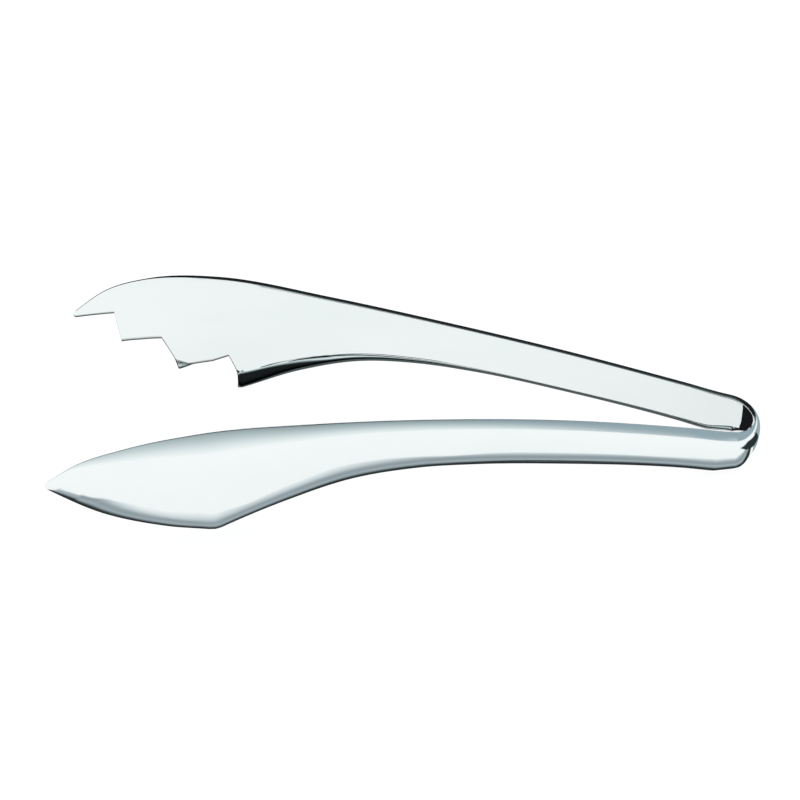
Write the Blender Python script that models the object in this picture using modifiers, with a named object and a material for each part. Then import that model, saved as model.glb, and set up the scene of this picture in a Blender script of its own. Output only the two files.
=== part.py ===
"""Stainless-steel serving tongs: a smooth blade arm and a stepped, toothed arm on one U-shaped spring bow.

Metres, +Z up. +X points from the tips to the bow, the blade arm is at -Y and the toothed arm at +Y.
The tongs lie on the flat underside of the bow and on the heels of both heads, at z = 0.
A reach is a place measured from the bow's outer end towards the tips, along -X.
A distance is measured along the strip in plan from the middle of the bow, negative along the blade arm.
"""

import math

import bmesh
import bpy
import numpy as np

# Driving dimensions
overall_length = 0.240
head_length = 0.054            # from the blade's tip to its heel
toothed_head_length = 0.0580
sheet_thickness = 0.0016
bow_radius = 0.0100            # outer face, in plan
leg_length = 0.0040            # straight end of the bow, up to the join with an arm
join_gap = 0.0003

# Plan of an arm: the angle, in degrees, at which it leaves the middle plane
splay_at_bow = 7.0
splay_at_head = 10.9
head_run = 0.085               # length over which the head curls back in
head_curl = 17.3
curl_power = 2.5

# Side view. Heights above the table; a share is a part of the shank's or the head's length
bow_top = 0.0161
shank_top = [(0.043, 0.0171), (0.134, 0.0215), (0.36, 0.0315), (0.58, 0.0390), (0.80, 0.0447), (1.0, 0.0478)]
head_top = [(0.48, 0.0445), (0.78, 0.0383)]
bow_underside = 0.0056
foot_depth = 0.0005            # cut off below the bow to leave it a flat foot
shank_underside = [(0.134, 0.0036), (0.36, 0.0128), (0.525, 0.0178), (0.635, 0.0193), (0.75, 0.0176),
                   (0.86, 0.0110)]
blade_head_underside = [(0.28, 0.0050), (0.67, 0.0155)]
toothed_head_underside = [(0.37, 0.0050), (0.73, 0.0152)]
tip_height = 0.0280
tip_width = 0.0020

# Section. The outer face is crowned, and the head is dished inwards towards its lower edge
bow_crown = 0.0008
shank_crown = [(0.36, 0.0010), (0.70, 0.0014), (1.0, 0.0020)]
shank_dish = [(0.59, 0.0), (0.75, 0.0012), (0.86, 0.0029), (0.98, 0.0046)]
head_dish = [(0.28, 0.0027), (0.67, 0.0002)]

# Stepped teeth: the length back from the arm's tip, the lean of the drop to the tooth, and its depth
teeth = [(0.0157, 0.0012, 0.0136), (0.0362, 0.0057, 0.0131)]
heel_tooth_lean = 0.0038
heel_tooth_depth = 0.0122
tooth_trim = 0.0002            # how far a tooth stops short of the head's lower outline
cutter_margin = 0.010

# Steps of the meshes
width_steps = 8
bow_steps = 24
shank_steps = 32
head_steps = 20

steel_colour = (0.80, 0.83, 0.84, 1.0)

# Worked out from the dimensions
bow_end = overall_length / 2 - bow_crown
tip_reach = overall_length - bow_crown
heel_reach = tip_reach - head_length
toothed_heel_reach = tip_reach - toothed_head_length
blade_head = (heel_reach, blade_head_underside)
toothed_head = (toothed_heel_reach, toothed_head_underside)
join_reach = bow_radius + leg_length
arc_length = bow_radius * math.radians(90 - splay_at_bow)
straight_length = (tip_reach - bow_radius - head_run) / math.cos(math.radians(splay_at_head))
bend_centroid = (bow_radius - sheet_thickness / 2) * 2 / math.pi
tip_underside = tip_height - tip_width / 2
tip_top = tip_height + tip_width / 2


def stations(at_bow, along_shank, along_head, at_tip):
    """Values along an arm, placed by reach."""
    shank = [(share * heel_reach, value) for share, value in along_shank]
    head = [(heel_reach + share * head_length, value) for share, value in along_head]
    return [(0.0, at_bow)] + shank + head + [(tip_reach, at_tip)]


def smooth_curve(placed, reach):
    """The value at a reach, on a smooth cubic through placed stations."""
    places, values = np.array(placed).T
    slopes = np.gradient(values, places)
    left = np.clip(np.searchsorted(places, reach) - 1, 0, len(places) - 2)
    span = places[left + 1] - places[left]
    t = (reach - places[left]) / span
    near = (1 + 2 * t) * (1 - t) ** 2 * values[left] + t * (1 - t) ** 2 * span * slopes[left]
    far = t ** 2 * (3 - 2 * t) * values[left + 1] - t ** 2 * (1 - t) * span * slopes[left + 1]
    return near + far


top_line = stations(bow_top, shank_top, head_top, tip_top)
crown_line = stations(bow_crown, shank_crown, [], 0.0)
dish_line = stations(0.0, shank_dish, head_dish, 0.0)
foot_line = [(0.0, bow_underside), (0.45 * bow_radius, 0.3 * bow_underside), (0.9 * bow_radius, -foot_depth),
             (join_reach, foot_depth)]
shank_line = foot_line + [(share * heel_reach, height) for share, height in shank_underside]


def underside_height(reach, head):
    """The shank's and the head's undersides meet in a corner, the heel, which stands on z = 0."""
    heel, shares = head
    head_line = [(heel + share * (tip_reach - heel), height) for share, height in shares]
    shank = smooth_curve(shank_line + [(heel, 0.0)], np.minimum(reach, heel))
    blade = smooth_curve([(heel, 0.0)] + head_line + [(tip_reach, tip_underside)], np.maximum(reach, heel))
    return np.where(reach < heel, shank, blade)


def heading(distance):
    """The plan angle between the strip and -X: a round bow, a nearly straight shank, a curled head."""
    along_shank = np.clip((distance - arc_length) / straight_length, 0, 1)
    along_head = np.clip((distance - arc_length - straight_length) / head_run, 0, None)
    splay = splay_at_bow + (splay_at_head - splay_at_bow) * along_shank
    arm = np.radians(splay - head_curl * along_head ** curl_power)
    return np.where(distance < arc_length, math.pi / 2 - distance / bow_radius, arm)


# The strip's outer face in plan: the reach and the offset from the middle plane at each distance
path_distance = np.linspace(0, 1.2 * overall_length, 6000)
path_step = path_distance[1]
step_heading = heading(path_distance[1:] - path_step / 2)
path_reach = np.append(0, np.cumsum(np.cos(step_heading) * path_step))
path_offset = np.append(0, np.cumsum(np.sin(step_heading) * path_step))


def distance_at(reach):
    return np.interp(reach, path_reach, path_distance)


def strip_point(distance, across, head):
    """A point of the strip's outer face; across runs from -1 at the underside to 1 at the top edge."""
    along = abs(distance)
    reach = np.interp(along, path_distance, path_reach)
    angle = heading(along)
    low = underside_height(reach, head)
    high = smooth_curve(top_line, reach)
    dish = smooth_curve(dish_line, reach) * ((1 - across) / 2) ** 2
    bulge = smooth_curve(crown_line, reach) * (1 - across ** 2) - dish
    offset = np.interp(along, path_distance, path_offset) + bulge * math.cos(angle)
    x = bow_end - reach + bulge * math.sin(angle)
    return x, math.copysign(offset, distance), (low + high) / 2 + across * (high - low) / 2


def arm_distances(heel):
    """Distances of the rows along an arm, from the join to the tip, with a row on the heel."""
    join = distance_at(join_reach) + join_gap
    shank = np.linspace(join, distance_at(heel), shank_steps, endpoint=False)
    head = np.linspace(distance_at(heel), distance_at(tip_reach), head_steps + 1)
    return np.append(shank, head)


def make_material(name):
    material = bpy.data.materials.new(name)
    material.use_nodes = True
    shader = material.node_tree.nodes["Principled BSDF"]
    shader.inputs["Base Color"].default_value = steel_colour
    shader.inputs["Metallic"].default_value = 1.0
    shader.inputs["Roughness"].default_value = 0.12
    return material


def make_strip(name, distances, head, pivot):
    """A sheet bent to the strip's outer face over the distances, and thickened inwards."""
    grid = bmesh.new()
    bmesh.ops.create_grid(grid, x_segments=len(distances) - 1, y_segments=width_steps, size=1)
    for vertex in grid.verts:
        row = round((vertex.co.x + 1) / 2 * (len(distances) - 1))
        point = strip_point(distances[row], vertex.co.y, head)
        vertex.co = [place - centre for place, centre in zip(point, pivot)]
    mesh = bpy.data.meshes.new(name)
    grid.to_mesh(mesh)
    grid.free()
    mesh.materials.append(make_material(name + "_steel"))
    mesh.shade_smooth()
    strip = bpy.data.objects.new(name, mesh)
    strip.location = pivot
    parts.objects.link(strip)
    solidify = strip.modifiers.new("sheet", "SOLIDIFY")
    solidify.thickness = sheet_thickness
    solidify.offset = -1
    solidify.use_even_offset = True
    return strip


def make_ground_cutter():
    """A block below z = 0, which leaves the bow its flat foot."""
    block = bmesh.new()
    bmesh.ops.create_cube(block, size=1)
    bmesh.ops.scale(block, vec=(4 * join_reach, 4 * bow_radius, cutter_margin), verts=block.verts)
    bmesh.ops.translate(block, vec=(bow_end, 0, -cutter_margin / 2), verts=block.verts)
    mesh = bpy.data.meshes.new("ground_cutter")
    block.to_mesh(mesh)
    block.free()
    return bpy.data.objects.new("ground_cutter", mesh)


def tooth_outline():
    """The stepped edge in side view, from beyond the tip to the heel, closed below the head."""
    outline = [(-bow_end, tip_underside)]
    for back, lean, depth in teeth:
        x, _, height = strip_point(distance_at(tip_reach - back), -1, toothed_head)
        outline += [(x - lean, height + depth), (x, height + tooth_trim)]
    heel_x, _, _ = strip_point(distance_at(toothed_heel_reach), -1, toothed_head)
    last_x = heel_x - tooth_trim
    outline += [(last_x - heel_tooth_lean, heel_tooth_depth), (last_x, -tooth_trim)]
    front_x = -bow_end - cutter_margin
    return outline + [(last_x, -cutter_margin), (front_x, -cutter_margin), (front_x, tip_underside)]


def make_tooth_cutter():
    """The stepped outline, extruded through the toothed head."""
    outline = tooth_outline()
    curve = bpy.data.curves.new("tooth_outline", "CURVE")
    curve.dimensions = "2D"
    curve.fill_mode = "BOTH"
    curve.extrude = float(path_offset.max())
    spline = curve.splines.new("POLY")
    spline.points.add(len(outline) - 1)
    for point, (x, height) in zip(spline.points, outline):
        point.co = (x, height, 0, 1)
    spline.use_cyclic_u = True
    flat = bpy.data.objects.new("tooth_outline", curve)
    flat.rotation_euler.x = math.pi / 2
    flat.location.y = curve.extrude + bow_radius
    cutters.objects.link(flat)
    bpy.context.view_layer.update()
    mesh = bpy.data.meshes.new_from_object(flat.evaluated_get(bpy.context.evaluated_depsgraph_get()))
    weld = bmesh.new()
    weld.from_mesh(mesh)
    bmesh.ops.remove_doubles(weld, verts=weld.verts, dist=0.00001)
    bmesh.ops.recalc_face_normals(weld, faces=weld.faces)
    weld.to_mesh(mesh)
    weld.free()
    cutter = bpy.data.objects.new("tooth_cutter", mesh)
    cutter.matrix_world = flat.matrix_world
    bpy.data.objects.remove(flat)
    return cutter


def cut(target, cutter):
    cutter.hide_render = True
    cutter.display_type = "WIRE"
    cutters.objects.link(cutter)
    boolean = target.modifiers.new(cutter.name, "BOOLEAN")
    boolean.operation = "DIFFERENCE"
    boolean.solver = "EXACT"
    boolean.object = cutter


for leftover in list(bpy.data.objects):
    bpy.data.objects.remove(leftover)
parts = bpy.data.collections.new("serving_tongs")
cutters = bpy.data.collections.new("cutters")
bpy.context.scene.collection.children.link(parts)
bpy.context.scene.collection.children.link(cutters)

# The bow, both halves of the bend and a short leg on each side
bow_reach = distance_at(join_reach)
spring_bow = make_strip("spring_bow", np.linspace(-bow_reach, bow_reach, bow_steps + 1), blade_head, (0, 0, 0))
cut(spring_bow, make_ground_cutter())

# Each arm turns about the middle of its own half of the bend, which is where the bow flexes
hinge_x = bow_end - bow_radius + bend_centroid
blade_arm = make_strip("blade_arm", -arm_distances(heel_reach)[::-1], blade_head,
                       (hinge_x, -bend_centroid, 0))
toothed_arm = make_strip("toothed_arm", arm_distances(toothed_heel_reach), toothed_head,
                         (hinge_x, bend_centroid, 0))
cut(toothed_arm, make_tooth_cutter())
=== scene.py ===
import bpy
import math
import numpy as np
from mathutils import Matrix, Vector


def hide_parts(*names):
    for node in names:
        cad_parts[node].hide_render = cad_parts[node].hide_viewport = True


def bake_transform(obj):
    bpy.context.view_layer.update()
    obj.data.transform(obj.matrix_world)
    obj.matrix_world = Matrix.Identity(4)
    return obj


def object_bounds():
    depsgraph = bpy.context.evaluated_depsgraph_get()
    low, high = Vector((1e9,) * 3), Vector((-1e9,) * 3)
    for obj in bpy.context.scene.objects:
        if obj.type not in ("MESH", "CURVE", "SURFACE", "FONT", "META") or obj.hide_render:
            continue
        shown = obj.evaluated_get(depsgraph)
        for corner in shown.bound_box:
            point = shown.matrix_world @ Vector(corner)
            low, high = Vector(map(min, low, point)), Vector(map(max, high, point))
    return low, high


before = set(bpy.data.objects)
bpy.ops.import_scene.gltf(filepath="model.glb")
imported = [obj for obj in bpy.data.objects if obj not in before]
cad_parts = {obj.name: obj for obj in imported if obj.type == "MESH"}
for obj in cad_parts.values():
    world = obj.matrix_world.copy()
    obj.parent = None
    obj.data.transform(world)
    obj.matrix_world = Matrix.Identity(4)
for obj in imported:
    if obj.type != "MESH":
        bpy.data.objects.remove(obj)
cadLow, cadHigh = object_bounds()
print("frame loaded:", ", ".join(sorted(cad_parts)))

mm = 0.001

# The strip that the tongs are bent from, in millimetres and degrees, as the frame was made.
# A reach is measured from the bow's outer end towards the tips, a share along the shank or the head.
strip = {
    "bowRadius": 10.0, "legLength": 4.0, "splayAtBow": 7.0, "splayAtHead": 10.9,
    "headRun": 85.0, "headCurl": 17.3, "curlPower": 2.5,
    "headLength": 54.0, "toothedHeadLength": 58.0,
    "bowCrown": 0.8, "bowTop": 16.1, "tipHeight": 28.0, "tipWidth": 2.0,
    "shankTop": [(0.043, 17.1), (0.134, 21.5), (0.36, 31.5), (0.58, 39.0), (0.80, 44.7), (1.0, 47.8)],
    "headTop": [(0.48, 44.5), (0.78, 38.3)],
    "footLine": [(0.0, 5.6), (4.5, 1.68), (9.0, -0.5), (14.0, 0.5)],
    "shankUnderside": [(0.134, 3.6), (0.36, 12.8), (0.525, 17.8), (0.635, 19.3), (0.75, 17.6), (0.86, 11.0)],
    "bladeUnderside": [(0.28, 5.0), (0.67, 15.5)],
    "toothedUnderside": [(0.37, 5.0), (0.73, 15.2)],
    "shankDish": [(0.59, 0.0), (0.75, 1.2), (0.86, 2.9), (0.98, 4.6)],
    "headDish": [(0.28, 2.7), (0.67, 0.2)],
    "tipRounding": 1.2, "pathSteps": 12000, "pathSpare": 1.2,
    "rows": {"bow": 60, "shank": 130, "head": 110, "tip": 16, "first": 0.02, "headStart": 12.0,
             "tipLength": 3.0, "besideCorner": [-0.25, -0.06, 0.0, 0.06, 0.25]},
}

# The sheet across its width: nearly flat in the middle, both long edges turned inwards and cut square
section = {
    "spareHeight": 0.7, "cornerRadius": 0.12, "cornerSteps": 6, "fineSteps": 160,
    "acrossSteps": 40, "topSteps": [0.006], "lowSteps": [0.985, 0.994],
    # how far up the faces the painted dark edge shade reaches, how sharply it ends, and the share along the
    # arm where it is full
    "paintedShadeHeight": 0.55, "paintedShadeSharpness": 1.7, "paintedShadeFrom": 0.1,
    "leastEnd": 0.03, "leastWidth": 0.05, "curlShare": 0.8,
}

# Each list of sizes runs by share: 0 at the bow, 1 at the blade arm's heel and 2 at the tip. A turn is how
# far an edge leans in, in degrees, and its power how late the lean begins. The painted edge shade is 1 where
# the lower edge is painted near-black: a painted dark reflection line, on top of the duller tone of the cut
# steel.
bladeArm = {
    "sheet": [(0.0, 1.4), (0.8, 1.4), (1.0, 1.1), (1.5, 0.6), (2.0, 0.4)],
    "topTurn": [(0.0, 46), (0.2, 41), (0.6, 37), (1.0, 35), (1.6, 32), (2.0, 28)],
    "lowTurn": [(0.0, 52), (0.2, 58), (0.9, 58), (1.1, 54), (2.0, 46)],
    "topPower": [(0.0, 1.6), (2.0, 1.9)], "lowPower": [(0.0, 2.0), (2.0, 2.2)],
    "curlHeight": 14.0, "curlPower": 1.8,
    "fold": [(0.0, 0.0), (2.0, 0.0)], "foldHeight": 2.2, "foldPower": 1.2,
    "paintedEdgeShade": 0.0,
}

toothedArm = {
    "sheet": [(0.0, 1.4), (0.12, 1.3), (0.9, 1.2), (1.3, 0.9), (1.5, 0.5), (2.0, 0.4)],
    "topTurn": [(0.0, 46), (0.14, 44), (0.9, 44), (1.3, 22), (2.0, 10)],
    "lowTurn": [(0.0, 52), (0.14, 84), (0.85, 84), (1.0, 50), (1.1, 12), (2.0, 6)],
    "topPower": [(0.0, 1.6), (0.14, 9.0), (2.0, 12.0)], "lowPower": [(0.0, 2.0), (0.14, 6.5), (2.0, 8.0)],
    "curlHeight": 30.0, "curlPower": 2.0,
    "fold": [(0.0, 0.0), (0.80, 0.0), (0.88, 1.0), (0.98, 3.4), (1.3, 1.3), (1.6, 0.1), (2.0, 0.0)],
    "foldHeight": 2.6, "foldPower": 1.1,
    "paintedEdgeShade": 1.0,
    # teeth: length back from the tip, lean of the drop to the tooth's point, and depth of the step
    "steps": [(15.7, 1.2, 13.5), (36.2, 5.7, 12.3)],
    "heelLean": 3.8, "heelDepth": 9.9, "belowOutline": 0.45,
}

overallLength = (cadHigh.x - cadLow.x) / mm
bowEnd = overallLength / 2 - strip["bowCrown"]
tipReach = overallLength - strip["bowCrown"]
heelReach = tipReach - strip["headLength"]
toothedHeelReach = tipReach - strip["toothedHeadLength"]
joinReach = strip["bowRadius"] + strip["legLength"]
arcLength = strip["bowRadius"] * math.radians(90 - strip["splayAtBow"])
straightRun = tipReach - strip["bowRadius"] - strip["headRun"]
straightLength = straightRun / math.cos(math.radians(strip["splayAtHead"]))
tipUnderside = strip["tipHeight"] - strip["tipWidth"] / 2
tipTop = strip["tipHeight"] + strip["tipWidth"] / 2


def stations(atBow, alongShank, alongHead, atTip):
    # values along an arm, placed by reach
    shank = [(share * heelReach, value) for share, value in alongShank]
    head = [(heelReach + share * strip["headLength"], value) for share, value in alongHead]
    return [(0.0, atBow)] + shank + head + [(tipReach, atTip)]


def smoothCurve(placed, at):
    # a cubic through the placed values, its slope at each one taken from its neighbours
    places, values = np.array(placed).T
    slopes = np.gradient(values, places)
    left = np.clip(np.searchsorted(places, at) - 1, 0, len(places) - 2)
    span = places[left + 1] - places[left]
    t = (at - places[left]) / span
    near = (1 + 2 * t) * (1 - t) ** 2 * values[left] + t * (1 - t) ** 2 * span * slopes[left]
    far = t ** 2 * (3 - 2 * t) * values[left + 1] - t ** 2 * (1 - t) * span * slopes[left + 1]
    return near + far


topLine = stations(strip["bowTop"], strip["shankTop"], strip["headTop"], tipTop)
dishLine = stations(0.0, strip["shankDish"], strip["headDish"], 0.0)
shankLine = strip["footLine"] + [(share * heelReach, z) for share, z in strip["shankUnderside"]]


def undersideHeight(reach, heel, shares):
    # the shank's and the head's undersides, which meet in a corner at the heel
    headLine = [(heel + share * (tipReach - heel), z) for share, z in shares]
    shank = smoothCurve(shankLine + [(heel, 0.0)], np.minimum(reach, heel))
    blade = smoothCurve([(heel, 0.0)] + headLine + [(tipReach, tipUnderside)], np.maximum(reach, heel))
    return np.where(reach < heel, shank, blade)


def heading(distance):
    # plan angle between the strip and -X: a round bow, a nearly straight shank, a head that curls back in
    alongShank = np.clip((distance - arcLength) / straightLength, 0, 1)
    alongHead = np.clip((distance - arcLength - straightLength) / strip["headRun"], 0, None)
    splay = strip["splayAtBow"] + (strip["splayAtHead"] - strip["splayAtBow"]) * alongShank
    arm = np.radians(splay - strip["headCurl"] * alongHead ** strip["curlPower"])
    return np.where(distance < arcLength, math.pi / 2 - distance / strip["bowRadius"], arm)


# the strip's line in plan, summed in short steps along its heading
pathDistance = np.linspace(0, strip["pathSpare"] * overallLength, strip["pathSteps"])
pathStep = pathDistance[1]
stepHeading = heading(pathDistance[1:] - pathStep / 2)
pathReach = np.append(0, np.cumsum(np.cos(stepHeading) * pathStep))
pathOffset = np.append(0, np.cumsum(np.sin(stepHeading) * pathStep))


def distanceAt(reach):
    return np.interp(reach, pathReach, pathDistance)


def toothLine(arm):
    # corners of the stepped edge as (reach, height), from the heel to the tip
    corners = [(toothedHeelReach, 0.0), (toothedHeelReach + arm["heelLean"], arm["heelDepth"])]
    for back, lean, depth in reversed(arm["steps"]):
        reach = tipReach - back
        outline = undersideHeight(np.array([reach]), toothedHeelReach, strip["toothedUnderside"])
        point = float(outline[0]) - arm["belowOutline"]
        corners += [(reach, point), (reach + lean, point + depth)]
    return corners + [(tipReach, tipUnderside)]


def rowDistances(corners):
    # rows along the strip, close together in the bow, at the tip and on both sides of every corner
    rows = strip["rows"]
    join, shankEnd = distanceAt(joinReach), distanceAt(toothedHeelReach - rows["headStart"])
    headEnd, end = distanceAt(tipReach - rows["tipLength"]), distanceAt(tipReach)
    bow = np.append([0.0, rows["first"]], np.linspace(0, join, rows["bow"])[1:])
    shank = np.linspace(join, shankEnd, rows["shank"])[1:]
    head = np.linspace(shankEnd, headEnd, rows["head"])[1:]
    tip = end - (end - headEnd) * (1 - np.linspace(0, 1, rows["tip"])[1:]) ** 2
    near = np.concatenate([distanceAt(reach) + np.array(rows["besideCorner"]) for reach in corners])
    return np.unique(np.round(np.concatenate([bow, shank, head, tip, near[near < headEnd]]), 4))


def runningSum(steps):
    return np.concatenate([np.zeros((len(steps), 1)), np.cumsum(steps, 1)], 1)


def turnAngle(t, row):
    # lean of the outer face from upright: 0 in the middle, up to its turn at the top (t = 1) and,
    # the other way, at the lower edge (t = -1), each growing as a power of the way out
    up = row["topTurn"] * np.clip(t, 0, 1) ** row["topPower"]
    return np.radians(up - row["lowTurn"] * np.clip(-t, 0, 1) ** row["lowPower"])


def outerCurve(t, row, scale):
    # (offset, height, lean) of the outer face, added up along its own lean from the top edge down
    lean = turnAngle(t, row)
    step = -np.diff(t, axis=1) * scale
    middle = (lean[:, 1:] + lean[:, :-1]) / 2
    offset = row["topOffset"] + runningSum(np.sin(middle) * step)
    return offset, row["high"] - runningSum(np.cos(middle) * step), lean


def edgeCorners(offset, height, lean, sheet, way):
    # the square-cut edge of the sheet: a small quarter round at the outer corner and one at the inner;
    # way is 1 at the top and -1 below
    radius = np.minimum(section["cornerRadius"], sheet / 3)
    angle = np.radians(np.linspace(0, 90, section["cornerSteps"]))[None, :]
    cosine, sine = np.cos(angle), np.sin(angle)
    outN, outZ, alongN, alongZ = np.cos(lean), np.sin(lean), -way * np.sin(lean), way * np.cos(lean)
    offsets, heights = [], []
    for deep, outwards, along in ((radius, cosine, sine), (sheet - radius, -sine, cosine)):
        offsets.append(offset + outN * (radius * outwards - deep) + alongN * radius * along)
        heights.append(height + outZ * (radius * outwards - deep) + alongZ * radius * along)
    return np.concatenate(offsets, 1)[:, 1:-1], np.concatenate(heights, 1)[:, 1:-1]


def armRows(arm, heel, underside, corners):
    # for each row along an arm: its place, its sizes, and the height at which its lower edge is cut
    distance = rowDistances([reach for reach, z in corners])
    reach = np.interp(distance, pathDistance, pathReach)
    share = np.where(reach < heelReach, reach / heelReach, 1 + (reach - heelReach) / strip["headLength"])
    full, top = np.maximum(undersideHeight(reach, heel, underside), 0.0), smoothCurve(topLine, reach)
    sizes = ("sheet", "topTurn", "lowTurn", "topPower", "lowPower", "fold")
    row = {key: np.interp(share, *np.array(arm[key]).T) for key in sizes}
    # the arm's end is rounded off in plan and in side view
    left = np.clip((distance[-1] - distance) / strip["tipRounding"], 0, 1)
    shrink = np.maximum(np.sqrt(1 - (1 - left) ** 2), section["leastEnd"])
    spare = section["spareHeight"] * np.clip((tipReach - reach) / strip["headLength"], 0, 1) ** 0.5
    middle, half = (full + top) / 2, ((top - full) / 2 + spare) * shrink
    row.update(distance=distance, reach=reach, full=full, top=top, dish=smoothCurve(dishLine, reach))
    row.update(sheet=row["sheet"] * shrink, topOffset=-spare)
    row.update(low=np.maximum(middle - half, 0.0), high=middle + half)
    row["cutHeight"] = row["low"]
    # the painted dark edge shade, a painted reflection line along the cut lower edge, grows in over the first
    # share of the arm
    row["paintedEdgeShade"] = arm["paintedEdgeShade"] * np.clip(share / section["paintedShadeFrom"], 0, 1)
    if "steps" in arm:
        toothed = reach >= heel
        stepped = np.interp(reach, *np.array(corners).T)
        stepped = np.clip(stepped, row["low"], row["high"] - section["leastWidth"])
        row["cutHeight"] = np.where(toothed, stepped, row["low"])
        # on the teeth the painted dark edge shade is full
        row["paintedEdgeShade"] = np.where(toothed, 1.0, row["paintedEdgeShade"])
    return {key: value[:, None] for key, value in row.items()}


def keptFace(row):
    # the outer face from its top edge to where it is cut. The whole width is tried first, to find its scale,
    # the t of the cut, and the tilt that brings both edges of the whole width to one offset.
    rows, steps = len(row["reach"]), section["fineSteps"]
    t = np.broadcast_to(np.linspace(1, -1, steps), (rows, steps))
    offset, height, lean = outerCurve(t, row, 1.0)
    scale = (row["high"] - row["low"]) / (row["high"] - height[:, -1:])
    offset, height, lean = outerCurve(t, row, scale)
    below = np.clip((height > row["cutHeight"]).sum(1), 1, steps - 1)[:, None]
    upper, lower = np.take_along_axis(height, below - 1, 1), np.take_along_axis(height, below, 1)
    part = np.clip((upper - row["cutHeight"]) / np.maximum(upper - lower, 1e-6), 0, 1)
    upperT, lowerT = np.take_along_axis(t, below - 1, 1), np.take_along_axis(t, below, 1)
    lastT = upperT + (lowerT - upperT) * part
    tilt = (row["topOffset"] - offset[:, -1:]) / 2
    even = np.linspace(0, 1, section["acrossSteps"])[1:-1]
    u = np.concatenate([[0], section["topSteps"], even, section["lowSteps"], [1]])[None, :]
    t = 1 - (1 - lastT) * u
    offset, height, lean = outerCurve(t, row, scale)
    return offset + tilt * (1 - t), height, lean


def sheetLoop(row):
    # once round the sheet: outer face upwards, top edge, inner face downwards, lower edge;
    # edge is 1 on both edges, and the painted edge shade is 1 where the lower edge is cut and fades a little
    # way up the faces: a painted dark reflection line
    offset, height, lean = keptFace(row)
    innerN, innerZ = offset - row["sheet"] * np.cos(lean), height - row["sheet"] * np.sin(lean)
    topN, topZ = edgeCorners(offset[:, :1], height[:, :1], lean[:, :1], row["sheet"], 1)
    lowN, lowZ = edgeCorners(offset[:, -1:], height[:, -1:], lean[:, -1:], row["sheet"], -1)
    up = (height - height[:, -1:]) / section["paintedShadeHeight"]
    paintedShadeOnFace = np.clip(section["paintedShadeSharpness"] - up, 0, 1) * row["paintedEdgeShade"]
    onFace, onEdge = np.zeros(offset.shape), np.ones(lowN.shape)
    offsets = np.concatenate([offset[:, ::-1], topN, innerN, lowN[:, ::-1]], 1)
    heights = np.maximum(np.concatenate([height[:, ::-1], topZ, innerZ, lowZ[:, ::-1]], 1), 0.0)
    edge = np.concatenate([onFace, onEdge, onFace, onEdge], 1)
    paintedEdgeShade = np.concatenate([paintedShadeOnFace[:, ::-1], 0 * onEdge, paintedShadeOnFace, onEdge * row["paintedEdgeShade"]], 1)
    return offsets, heights, edge, paintedEdgeShade


def curlHead(arm, row, offset, height):
    # the lower part curls inwards by the dish, of which the fold is taken up in a sharper crease at the foot;
    # where the dish goes below zero, along the shank, all of it is in the crease and stands outwards
    above = np.maximum(height - row["full"], 0)
    tallCurl = np.minimum(arm["curlHeight"], section["curlShare"] * (row["top"] - row["full"]))
    curl = np.clip(1 - above / tallCurl, 0, 1) ** arm["curlPower"]
    fold = np.minimum(row["fold"], row["dish"])
    crease = np.clip(1 - above / arm["foldHeight"], 0, 1) ** arm["foldPower"]
    return offset - (row["dish"] - fold) * curl - fold * crease


def makeSide(name, side, arm, heel, underside, corners):
    # one half of the strip, from the middle of the bow to an arm's tip; side is 1 for +Y and -1 for -Y.
    # Also gives back the outer face, as distances, offsets and heights.
    row = armRows(arm, heel, underside, corners)
    offset, height, edge, paintedEdgeShade = sheetLoop(row)
    bent = curlHead(arm, row, offset, height)
    angle = heading(row["distance"])
    x = bowEnd - row["reach"] + bent * np.sin(angle)
    y = side * (np.interp(row["distance"], pathDistance, pathOffset) + bent * np.cos(angle))
    place = np.stack([np.broadcast_to(row["distance"], x.shape), height, offset], -1) * mm
    shell = makeShell(name, np.stack([x, y, height], -1) * mm, side > 0, place, edge, paintedEdgeShade)
    across = section["acrossSteps"] + len(section["topSteps"]) + len(section["lowSteps"])
    return shell, (row["distance"][:, 0], bent[:, :across], height[:, :across])


def makeShell(name, points, flip, place, edge, paintedEdgeShade):
    # rows of closed loops joined by quads, and both ends closed by a fan on a middle point
    rows, width, _ = points.shape

    def withEnds(grid):
        ends = [grid[row].reshape(width, -1).mean(0)[None] for row in (0, -1)]
        return np.concatenate([grid.reshape(rows * width, -1), *ends])

    first, j = np.meshgrid(np.arange(rows - 1) * width, np.arange(width), indexing="ij")
    k = (j + 1) % width
    quads = np.stack([first + j, first + k, first + width + k, first + width + j], -1).reshape(-1, 4)
    j, k = j[0], k[0]
    last = (rows - 1) * width
    startFan = np.stack([k, j, np.full(width, rows * width)], -1)
    endFan = np.stack([last + j, last + k, np.full(width, rows * width + 1)], -1)
    if flip:
        quads, startFan, endFan = quads[:, ::-1], startFan[:, ::-1], endFan[:, ::-1]
    mesh = bpy.data.meshes.new(name)
    mesh.from_pydata(withEnds(points).tolist(), [], quads.tolist() + startFan.tolist() + endFan.tolist())
    mesh.shade_smooth()
    ends = np.zeros(len(mesh.edges) * 2, int)
    mesh.edges.foreach_get("vertices", ends)
    sharp = (ends.reshape(-1, 2) < width).all(1)  # the loop in the middle of the bow, where the halves meet
    mesh.attributes.new("sharp_edge", "BOOLEAN", "EDGE").data.foreach_set("value", sharp)
    mesh.attributes.new("place", "FLOAT_VECTOR", "POINT").data.foreach_set("vector", withEnds(place).ravel())
    # edge marks both edges for wear; the painted edge shade carries a painted dark reflection line along the
    # cut edge
    for key, values in (("edge", edge), ("paintedEdgeShade", paintedEdgeShade)):
        values = withEnds(values[..., None]).ravel()
        mesh.attributes.new(key, "FLOAT", "POINT").data.foreach_set("value", values)
    piece = bpy.data.objects.new(name, mesh)
    bpy.context.scene.collection.objects.link(piece)
    print("made", name, len(mesh.polygons), "faces")
    return piece


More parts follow.
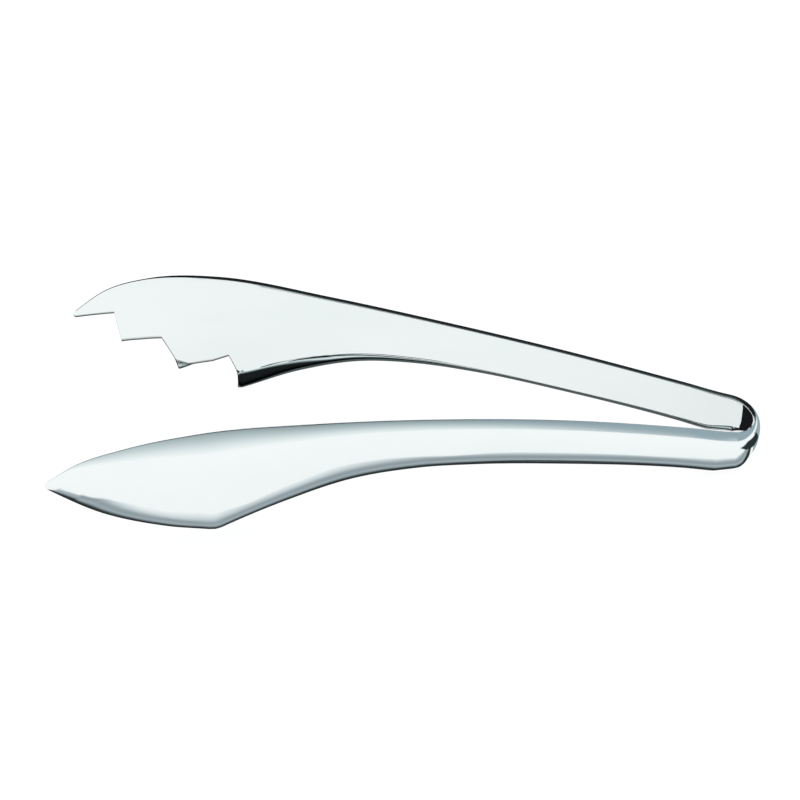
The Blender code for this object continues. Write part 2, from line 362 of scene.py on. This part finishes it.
bladeSide, bladeOuter = makeSide("bladeSide", -1, bladeArm, heelReach, strip["bladeUnderside"],
                                 [(heelReach, 0.0)])
toothedSide, _ = makeSide("toothedSide", 1, toothedArm, toothedHeelReach, strip["toothedUnderside"],
                          toothLine(toothedArm))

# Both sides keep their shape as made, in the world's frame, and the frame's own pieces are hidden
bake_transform(bladeSide)
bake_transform(toothedSide)
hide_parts("blade_arm", "spring_bow")
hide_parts("toothed_arm")


def addNode(tree, kind, inputs=None, **settings):
    # one node, its settings and its inputs, each a value or another node's output
    node = tree.nodes.new(kind)
    for key, value in settings.items():
        setattr(node, key, value)
    for key, value in (inputs or {}).items():
        if isinstance(value, bpy.types.NodeSocket):
            tree.links.new(value, node.inputs[key])
        else:
            node.inputs[key].default_value = value
    return node


def fillRamp(ramp, stops):
    while len(ramp.elements) < len(stops):
        ramp.elements.new(0.5)
    for element, (place, colour) in zip(ramp.elements, stops):
        element.position, element.color = place, (*colour, 1)


# Repeats per metre along the strip, up it and through it, how strongly the lines add to the roughness,
# how far the smears are stirred, the marks at which the steel is smoothest and roughest, and the line depth
polish = {
    "lineRepeats": (60, 3200, 3200), "smearRepeats": (22, 60, 60), "lineShare": 0.35, "stirred": 0.6,
    "marksFrom": 0.4, "marksTo": 1.3, "lineDepth": 0.00005,
}


def makePolishAndEdgeShadeGroup():
    # hair-thin polishing lines along the strip, broad faint smears left by handling, and a near-black painted
    # dark reflection line mixed into the colour along the cut edges
    tree = bpy.data.node_groups.new("polishMarksAndEdgeShade", "ShaderNodeTree")
    for name, kind in (("Place", "Vector"), ("Edge", "Float"), ("Painted Edge Shade", "Float"), ("Smoothest", "Float"),
                       ("Roughest", "Float"), ("Edge Wear", "Float"), ("Bright Steel", "Color"),
                       ("Deep Steel", "Color"), ("Painted Edge Shade Colour", "Color")):
        tree.interface.new_socket(name, in_out="INPUT", socket_type="NodeSocket" + kind)
    for name, kind in (("Colour", "Color"), ("Roughness", "Float"), ("Height", "Float")):
        tree.interface.new_socket(name, in_out="OUTPUT", socket_type="NodeSocket" + kind)
    given, result = tree.nodes.new("NodeGroupInput").outputs, tree.nodes.new("NodeGroupOutput").inputs
    drawn = addNode(tree, "ShaderNodeVectorMath", {0: given["Place"], 1: polish["lineRepeats"]},
                    operation="MULTIPLY")
    lines = addNode(tree, "ShaderNodeTexNoise", {"Vector": drawn.outputs[0], "Scale": 1.0, "Detail": 3.0})
    wiped = addNode(tree, "ShaderNodeVectorMath", {0: given["Place"], 1: polish["smearRepeats"]},
                    operation="MULTIPLY")
    smears = addNode(tree, "ShaderNodeTexNoise", {"Vector": wiped.outputs[0], "Scale": 1.0, "Detail": 4.0,
                                                  "Distortion": polish["stirred"]})
    worn = addNode(tree, "ShaderNodeMath", {0: given["Edge"], 1: given["Edge Wear"]}, operation="MULTIPLY")
    mixed = addNode(tree, "ShaderNodeMath", {0: lines.outputs["Fac"], 1: polish["lineShare"],
                                             2: smears.outputs["Fac"]}, operation="MULTIPLY_ADD")
    marks = addNode(tree, "ShaderNodeMath", {0: mixed.outputs[0], 1: worn.outputs[0]}, operation="ADD")
    rough = addNode(tree, "ShaderNodeMapRange", {
        "Value": marks.outputs[0], "From Min": polish["marksFrom"], "From Max": polish["marksTo"],
        "To Min": given["Smoothest"], "To Max": given["Roughest"]})
    tone = addNode(tree, "ShaderNodeMix", {0: smears.outputs["Fac"], 6: given["Bright Steel"],
                                           7: given["Deep Steel"]}, data_type="RGBA")
    # near-black painted dark reflection line mixed into the steel's colour along the cut edges
    paintedEdgeShade = addNode(tree, "ShaderNodeMix", {0: given["Painted Edge Shade"], 6: tone.outputs[2],
                                              7: given["Painted Edge Shade Colour"]}, data_type="RGBA")
    tree.links.new(paintedEdgeShade.outputs[2], result["Colour"])
    tree.links.new(rough.outputs[0], result["Roughness"])
    tree.links.new(lines.outputs["Fac"], result["Height"])
    return tree


steelFinish = {
    "bladeSteel": {"smoothest": 0.075, "roughest": 0.13, "edgeWear": 0.3, "relief": 0.010},
    "toothedSteel": {"smoothest": 0.035, "roughest": 0.09, "edgeWear": 0.5, "relief": 0.006},
    # bright and deep steel are the steel's own tones; the third colour is the near-black painted dark edge
    # shade
    "bright": (0.845, 0.89, 0.885, 1), "deep": (0.795, 0.855, 0.855, 1), "paintedEdgeShade": (0.07, 0.09, 0.09, 1),
}


def makeSteel(name, group):
    finish = steelFinish[name]
    material = bpy.data.materials.new(name)
    material.use_nodes = True
    tree = material.node_tree
    shader = tree.nodes["Principled BSDF"]
    shader.inputs["Metallic"].default_value = 1.0
    # the painted edge shade attribute carries the painted dark reflection line along the cut edges
    place, edge, paintedEdgeShade = (addNode(tree, "ShaderNodeAttribute", attribute_name=name)
                            for name in ("place", "edge", "paintedEdgeShade"))
    values = {"Place": place.outputs["Vector"], "Edge": edge.outputs["Fac"],
              "Painted Edge Shade": paintedEdgeShade.outputs["Fac"], "Smoothest": finish["smoothest"],
              "Roughest": finish["roughest"], "Edge Wear": finish["edgeWear"],
              "Bright Steel": steelFinish["bright"], "Deep Steel": steelFinish["deep"],
              "Painted Edge Shade Colour": steelFinish["paintedEdgeShade"]}
    marks = addNode(tree, "ShaderNodeGroup", values, node_tree=group)
    bump = addNode(tree, "ShaderNodeBump", {"Height": marks.outputs["Height"], "Strength": finish["relief"],
                                            "Distance": polish["lineDepth"]})
    tree.links.new(marks.outputs["Colour"], shader.inputs["Base Color"])
    tree.links.new(marks.outputs["Roughness"], shader.inputs["Roughness"])
    tree.links.new(bump.outputs[0], shader.inputs["Normal"])
    return material


polishMarksAndEdgeShade = makePolishAndEdgeShadeGroup()
bladeSide.data.materials.append(makeSteel("bladeSteel", polishMarksAndEdgeShade))
toothedSide.data.materials.append(makeSteel("toothedSteel", polishMarksAndEdgeShade))
print("steel finished")

# The table: a plain pale sweep, lit evenly from within and from above
table = {"size": 4.0, "colour": (0.36, 0.36, 0.36, 1), "shine": (1, 1, 1, 1), "glow": 0.81, "drop": 0.0001}
tableMesh = bpy.data.meshes.new("table")
far = table["size"]
tableMesh.from_pydata([(-far, -far, 0), (far, -far, 0), (far, far, 0), (-far, far, 0)], [], [(0, 1, 2, 3)])
tableTop = bpy.data.objects.new("table", tableMesh)
tableTop.location.z = cadLow.z - table["drop"]
bpy.context.scene.collection.objects.link(tableTop)
pale = bpy.data.materials.new("paleTable")
pale.use_nodes = True
paleShader = pale.node_tree.nodes["Principled BSDF"]
for key, value in (("Base Color", table["colour"]), ("Roughness", 0.9), ("Specular IOR Level", 0.0),
                   ("Emission Color", table["shine"]), ("Emission Strength", table["glow"])):
    paleShader.inputs[key].default_value = value
tableMesh.materials.append(pale)

# Flags: grey and black cards that only the steel sees, and that draw its dark outlines. They lie on the
# table or stand beside the bow. Corners in millimetres, and how bright each is.
flags = {
    "rightFlag": ([(122, -5, 0.1), (200, -5, 0.1), (200, 90, 0.1), (122, 90, 0.1)], (0.34, 0.43, 0.48)),
    "cornerFlag": ([(127, -30, 0.2), (160, -30, 0.2), (160, 3, 0.2), (127, 3, 0.2)], (0.02, 0.03, 0.03)),
    "bowFlag": ([(115, -7.5, 0), (115, 7.5, 0), (115, 7.5, 14), (115, -7.5, 14)], (0.01, 0.01, 0.012)),
}

# The long flag follows the blade arm. Each shade: how far above the arm's lowest visible line, in
# millimetres square to the view, and how bright a card the steel mirrors there.
longFlag = {
    "shades": [(0.0, 0.03), (0.75, 0.03), (1.05, 0.30), (1.3, 0.46), (1.6, 0.46), (1.9, 0.33), (2.7, 0.38),
               (3.2, 0.62), (4.4, 0.86), (5.5, 1.0)],
    "tint": (0.80, 1.0, 1.12), "light": 1.05, "fullWidth": 15.0, "leastShare": 0.2,
    "bowStart": 7.0, "tipGap": 0.3, "everyRow": 3, "across": 28, "height": 0.15,
    "leanFrom": 1, "leanTo": 44, "inner": 1.0, "outer": 1.5, "beyondBow": 25.0, "beyondTip": 12.0,
    "evened": 3,
}


def makeFlag(name, corners, faces, shades):
    mesh = bpy.data.meshes.new(name)
    mesh.from_pydata((np.array(corners) * mm).tolist(), [], faces)
    flag = bpy.data.objects.new(name, mesh)
    bpy.context.scene.collection.objects.link(flag)
    mesh.attributes.new("shade", "FLOAT_COLOR", "POINT").data.foreach_set("color", np.array(shades).ravel())
    material = bpy.data.materials.new(name)
    material.use_nodes = True
    tree = material.node_tree
    tree.nodes.clear()
    shade = addNode(tree, "ShaderNodeAttribute", attribute_name="shade")
    glow = addNode(tree, "ShaderNodeEmission", {"Color": shade.outputs["Color"]})
    addNode(tree, "ShaderNodeOutputMaterial", {"Surface": glow.outputs[0]})
    mesh.materials.append(material)
    for kind in ("camera", "diffuse", "transmission", "shadow", "volume_scatter"):
        setattr(flag, "visible_" + kind, False)


for name, (corners, brightness) in flags.items():
    makeFlag(name, corners, [(0, 1, 2, 3)], [(*brightness, 1)] * 4)


def mirroredCard(out, high):
    # (offset, height, shade) of the card across the arm, where the outer face of one row mirrors it.
    # A face leaning down by a turns the view to 2a - 45 degrees behind straight down.
    down = np.degrees(np.arctan2(np.gradient(out), np.gradient(high)))
    rise = (high - out) / 2 ** 0.5
    lowest = np.argmin(rise)
    shown = np.arange(lowest, len(out) - 1)
    shown = shown[np.cumsum(down[shown] < longFlag["leanFrom"]) == 0]
    widthShare = np.clip((high.max() - high.min()) / longFlag["fullWidth"], longFlag["leastShare"], 1)
    shades = np.interp((rise[shown] - rise[lowest]) / widthShare, *np.array(longFlag["shades"]).T)
    theta = np.radians(2 * np.clip(down[shown], longFlag["leanFrom"], longFlag["leanTo"]) - 45)
    out, high = out[shown], high[shown]
    # under the arm the card slopes up at 45 degrees, edge on to what the other arm mirrors
    sloping = out - high * np.tan(theta) < out[0]
    travel = np.where(sloping, (high + out - out[0]) / (np.cos(theta) + np.sin(theta)), high / np.cos(theta))
    met = out - travel * np.sin(theta), np.maximum(high - travel * np.cos(theta), 0), shades
    count = np.linspace(0, len(shown) - 1, longFlag["across"] - 2)
    out, high, shades = (np.interp(count, np.arange(len(shown)), values) for values in met)
    out = np.concatenate([[out[0] - longFlag["inner"]], out, [out[-1] + longFlag["outer"]]])
    high = np.concatenate([[high[0] + longFlag["inner"]], high, [0]])
    return out, high, np.concatenate([[shades[0]], shades, [1]])


def layLongFlag(outer):
    # the cards of all rows joined into one sheet, evened out from row to row, and carried on past both ends
    along, out, high = outer
    start, end = distanceAt(longFlag["bowStart"]), along[-1] - longFlag["tipGap"]
    kept = np.flatnonzero((along > start) & (along < end))[::longFlag["everyRow"]]
    along = along[kept][:, None]
    cards = np.array([mirroredCard(out[row], high[row]) for row in kept])
    for _ in range(longFlag["evened"]):
        cards[1:-1] = (cards[:-2] + 2 * cards[1:-1] + cards[2:]) / 4
    inset, rise, shade = cards.transpose(1, 0, 2)
    x = bowEnd - np.interp(along, pathDistance, pathReach) + inset * np.sin(heading(along))
    y = -(np.interp(along, pathDistance, pathOffset) + inset * np.cos(heading(along)))
    grid = np.stack([x, y, rise + longFlag["height"], shade], -1)
    grid = np.concatenate([grid[:1], grid, grid[-1:]])
    grid[0, :, 0] += longFlag["beyondBow"]
    grid[-1, :, 0] -= longFlag["beyondTip"]
    wide = longFlag["across"]
    i, j = np.meshgrid(np.arange(len(grid) - 1), np.arange(wide - 1), indexing="ij")
    faces = np.stack([i * wide + j, i * wide + j + 1, (i + 1) * wide + j + 1, (i + 1) * wide + j], -1)
    shade = grid[..., 3].reshape(-1, 1)
    colours = longFlag["light"] * shade * (shade + (1 - shade) * np.array([longFlag["tint"]]))
    makeFlag("longFlag", grid[..., :3].reshape(-1, 3).tolist(), faces.reshape(-1, 4).tolist(),
             np.concatenate([colours, np.ones((len(colours), 1))], 1))


layLongFlag(bladeOuter)
print("flags placed")

# The room as the steel sees it: 0 is the front horizon, a half is overhead and 1 is the back horizon
room = {
    "stops": [(0.0, (1.04, 1.05, 1.05)), (0.05, (0.82, 0.87, 0.88)), (0.10, (0.58, 0.65, 0.67)),
              (0.145, (0.40, 0.47, 0.49)), (0.19, (0.19, 0.23, 0.25)), (0.235, (0.05, 0.06, 0.06)),
              (0.27, (0.012, 0.014, 0.015)), (0.60, (0.01, 0.012, 0.013)),
              (0.90, (0.01, 0.012, 0.013)), (0.96, (0.35, 0.40, 0.42)), (1.0, (0.8, 0.84, 0.85))],
    "right": (0.34, 0.43, 0.48), "rightFrom": 0.35, "rightTo": 0.62, "light": 0.75,
}
world = bpy.data.worlds.new("studio")
bpy.context.scene.world = world
world.use_nodes = True
tree = world.node_tree
tree.nodes.clear()
direction = addNode(tree, "ShaderNodeTexCoord").outputs["Generated"]
split = addNode(tree, "ShaderNodeSeparateXYZ", {0: direction})
front = addNode(tree, "ShaderNodeMath", {0: split.outputs["Y"], 1: -1.0}, operation="MULTIPLY")
turn = addNode(tree, "ShaderNodeMath", {0: split.outputs["Z"], 1: front.outputs[0]}, operation="ARCTAN2")
turned = addNode(tree, "ShaderNodeMath", {0: turn.outputs[0], 1: math.pi}, operation="DIVIDE")
ramp = addNode(tree, "ShaderNodeValToRGB", {0: turned.outputs[0]})
fillRamp(ramp.color_ramp, room["stops"])
toRight = addNode(tree, "ShaderNodeMapRange", {"Value": split.outputs["X"], "From Min": room["rightFrom"],
                                               "From Max": room["rightTo"]}, interpolation_type="SMOOTHSTEP")
walls = addNode(tree, "ShaderNodeMix", {0: toRight.outputs[0], 6: ramp.outputs[0],
                                        7: (*room["right"], 1)}, data_type="RGBA")
seen = addNode(tree, "ShaderNodeBackground", {0: walls.outputs[2]})
lit = addNode(tree, "ShaderNodeBackground", {0: (1, 1, 1, 1), 1: room["light"]})
path = addNode(tree, "ShaderNodeLightPath")
both = addNode(tree, "ShaderNodeMixShader", {0: path.outputs["Is Glossy Ray"], 1: lit.outputs[0],
                                             2: seen.outputs[0]})
addNode(tree, "ShaderNodeOutputWorld", {0: both.outputs[0]})
bpy.context.scene.view_settings.view_transform = "Standard"
print("studio lit")

# The camera looks down at 45 degrees on the blade arm
view = {"elevation": 45.0, "azimuth": 0.62, "roll": 0.80, "distance": 710.0, "aimRight": -3.92, "aimUp": 18.0,
        "lens": 91.2, "sensor": 36.0}
elevation, azimuth, roll = (math.radians(view[key]) for key in ("elevation", "azimuth", "roll"))
right = Vector((math.cos(azimuth), math.sin(azimuth), 0))
ahead = Vector((-math.sin(azimuth), math.cos(azimuth), 0))
up = ahead * math.sin(elevation) + Vector((0, 0, 1)) * math.cos(elevation)
forward = ahead * math.cos(elevation) - Vector((0, 0, 1)) * math.sin(elevation)
cameraData = bpy.data.cameras.new("camera")
cameraData.lens, cameraData.sensor_width = view["lens"], view["sensor"]
cameraData.clip_start, cameraData.clip_end = 0.01, 20.0
camera = bpy.data.objects.new("camera", cameraData)
bpy.context.scene.collection.objects.link(camera)
bpy.context.scene.camera = camera
spot = (right * view["aimRight"] + up * view["aimUp"] - forward * view["distance"]) * mm
rolledRight = right * math.cos(roll) - up * math.sin(roll)
rolledUp = right * math.sin(roll) + up * math.cos(roll)
turnedCamera = Matrix((rolledRight, rolledUp, -forward)).transposed().to_4x4()
camera.matrix_world = Matrix.Translation(spot) @ turnedCamera
